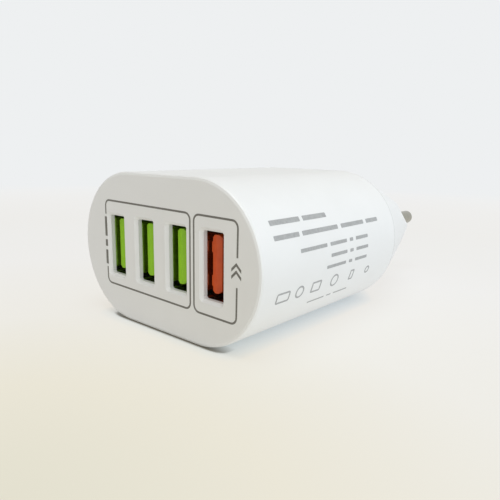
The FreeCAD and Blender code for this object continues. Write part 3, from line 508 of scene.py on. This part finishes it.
pale_floor, shader = plain_finish("pale_floor", Specular_IOR_Level=0.1)
# The floor's lit colour is cool, so the painted shadow shows cool where the glow is cut.
cool = mottle(shader, 9, (0.660, 0.800, 0.900), (0.680, 0.820, 0.920), (0.75, 0.85))
place = add_node(shader, "ShaderNodeTexCoord").outputs["Object"]
reach = add_node(shader, "ShaderNodeVectorMath", place, operation="DISTANCE")
reach.inputs[1].default_value = WARM_SPOT
span = spread(shader, reach.outputs["Value"], 0.0, FADE_REACH)
ground = add_node(shader, "ShaderNodeValToRGB", span)
stops = ground.color_ramp.elements
for stop, (position, tint) in zip(stops, (GROUND_STOPS[0], GROUND_STOPS[-1])):
    stop.position = position
    stop.color = (*tint, 1)
for position, tint in GROUND_STOPS[1:-1]:
    stops.new(position).color = (*tint, 1)
far = spread(shader, span, *GLOW_FADE, GLOW_NEAR, 1.0, smooth=True)
# Painted shadow: the glow is cut where the charger stands close over the floor.
near = add_node(shader, "ShaderNodeAmbientOcclusion", Distance=SHADE_REACH, samples=16)
contact = spread(shader, near.outputs["AO"], 0.0, 1.0, GLOW_SHADED, 1.0)
# Painted shade: a dark brown line laid into the floor's colour, and its glow cut, close under the front
# face.
tight = add_node(shader, "ShaderNodeAmbientOcclusion", Distance=CREASE_REACH, samples=16)
steep = spread(shader, tight.outputs["AO"], *CREASE_FADE)
across = add_node(shader, "ShaderNodeSeparateXYZ", place)
beside = spread(shader, across.outputs["Y"], FACE_Y, FACE_Y + CREASE_DEPTH)
crease_shade = add_node(shader, "ShaderNodeMath", steep, beside, operation="MAXIMUM").outputs["Value"]
painted_crease_shade = add_node(shader, "ShaderNodeMix", crease_shade, data_type="RGBA", A=CREASE_SHADE_BROWN)
wire(cool, painted_crease_shade.inputs["B"])
wire(painted_crease_shade.outputs["Result"], shader.inputs["Base Color"])
touch = add_node(shader, "ShaderNodeMath", contact, crease_shade, operation="MULTIPLY").outputs["Value"]
lift = add_node(shader, "ShaderNodeMath", far, touch, operation="MULTIPLY").outputs["Value"]
haze = add_node(shader, "ShaderNodeEmission", ground.outputs["Color"], Strength=1.0)
blend = add_node(shader, "ShaderNodeMixShader", lift, shader.outputs["BSDF"], haze.outputs["Emission"])
wire(blend.outputs["Shader"], shader.id_data.nodes["Material Output"].inputs["Surface"])
mesh.materials.append(pale_floor)


# Stage light: a room that is brightest and coolest on the right, a softbox above, and two windows on the
# right, one of them towards the front. The camera and mirrors see the plain backdrop in place of the room.
BRIGHT_SIDE = Vector((0.85, 0.20, 0.49)).normalized()
ROOM_DIM = 0.06
ROOM_BRIGHT = 0.71
ROOM_WARM = (0.96, 0.89, 0.75, 1)
ROOM_COOL = (0.93, 0.985, 1.0, 1)
TURNS_COOL = (0.3, 0.85)
# Each lamp's place and width in metres, its power in watts and its colour
LAMPS = (
    ("softbox", (0.08, -0.10, 0.80), 0.6, 2.8, (0.99, 0.98, 0.97)),
    ("window", (0.62, 0.10, 0.03), 0.8, 1.9, (0.74, 0.86, 1.0)),
    ("near_window", (0.42, -0.42, 0.08), 0.7, 0.8, (0.93, 0.94, 1.0)),
)
LAMP_AIM = Vector((0, 0, CURVE_Z))

world = bpy.data.worlds.new("soft_room")
bpy.context.scene.world = world
world.use_nodes = True
room = world.node_tree.nodes["Background"]
around = add_node(room, "ShaderNodeTexCoord").outputs["Generated"]
toward = add_node(room, "ShaderNodeVectorMath", around, operation="DOT_PRODUCT")
toward.inputs[1].default_value = BRIGHT_SIDE
facing = toward.outputs["Value"]
warmth = add_node(room, "ShaderNodeValToRGB", spread(room, facing, *TURNS_COOL))
warmth.color_ramp.elements[0].color = ROOM_WARM
warmth.color_ramp.elements[1].color = ROOM_COOL
wire(warmth.outputs["Color"], room.inputs["Color"])
wire(spread(room, facing, -1.0, 1.0, ROOM_DIM, ROOM_BRIGHT, smooth=True), room.inputs["Strength"])
backdrop = add_node(room, "ShaderNodeBackground", Color=(*BACKDROP, 1), Strength=1.0)
path = add_node(room, "ShaderNodeLightPath").outputs
mirrored = add_node(room, "ShaderNodeMath", path["Is Camera Ray"], path["Is Glossy Ray"],
                    operation="MAXIMUM")
choose = add_node(room, "ShaderNodeMixShader", mirrored.outputs["Value"], room.outputs["Background"],
                  backdrop.outputs["Background"])
wire(choose.outputs["Shader"], world.node_tree.nodes["World Output"].inputs["Surface"])

for name, stand, size, power, tint in LAMPS:
    light = bpy.data.lights.new(name, "AREA")
    light.shape = "DISK"
    light.size = size
    light.energy = power
    light.color = tint
    lamp = bpy.data.objects.new(name, light)
    lamp.location = stand
    lamp.rotation_euler = (LAMP_AIM - lamp.location).to_track_quat("-Z", "Y").to_euler()
    bpy.context.scene.collection.objects.link(lamp)


# Camera: stands where the photograph was taken, right of the face and a little above it, with the
# photograph's slight roll. Colours are shown as they are lit.
CAMERA_PLACE = Vector((77.77, -109.80, 37.15)) * MM
YAW = math.radians(41.01)
PITCH = math.radians(11.42)
ROLL = math.radians(-0.9)
SENSOR_WIDTH = 36.0
FOCAL_LENGTH = 36.30
NEAREST = 5.0 * MM

ahead = Vector((-math.sin(YAW) * math.cos(PITCH), math.cos(YAW) * math.cos(PITCH), -math.sin(PITCH)))
level_right = ahead.cross(Vector((0, 0, 1))).normalized()
level_down = ahead.cross(level_right)
right = math.cos(ROLL) * level_right + math.sin(ROLL) * level_down
down = -math.sin(ROLL) * level_right + math.cos(ROLL) * level_down
lens = bpy.data.cameras.new("camera")
lens.sensor_fit = "HORIZONTAL"
lens.sensor_width = SENSOR_WIDTH
lens.lens = FOCAL_LENGTH
lens.clip_start = NEAREST
camera = bpy.data.objects.new("camera", lens)
turned = Matrix((right, -down, -ahead)).transposed().to_4x4()
camera.matrix_world = Matrix.Translation(CAMERA_PLACE) @ turned
bpy.context.scene.collection.objects.link(camera)
bpy.context.scene.camera = camera
bpy.context.scene.view_settings.view_transform = "Standard"
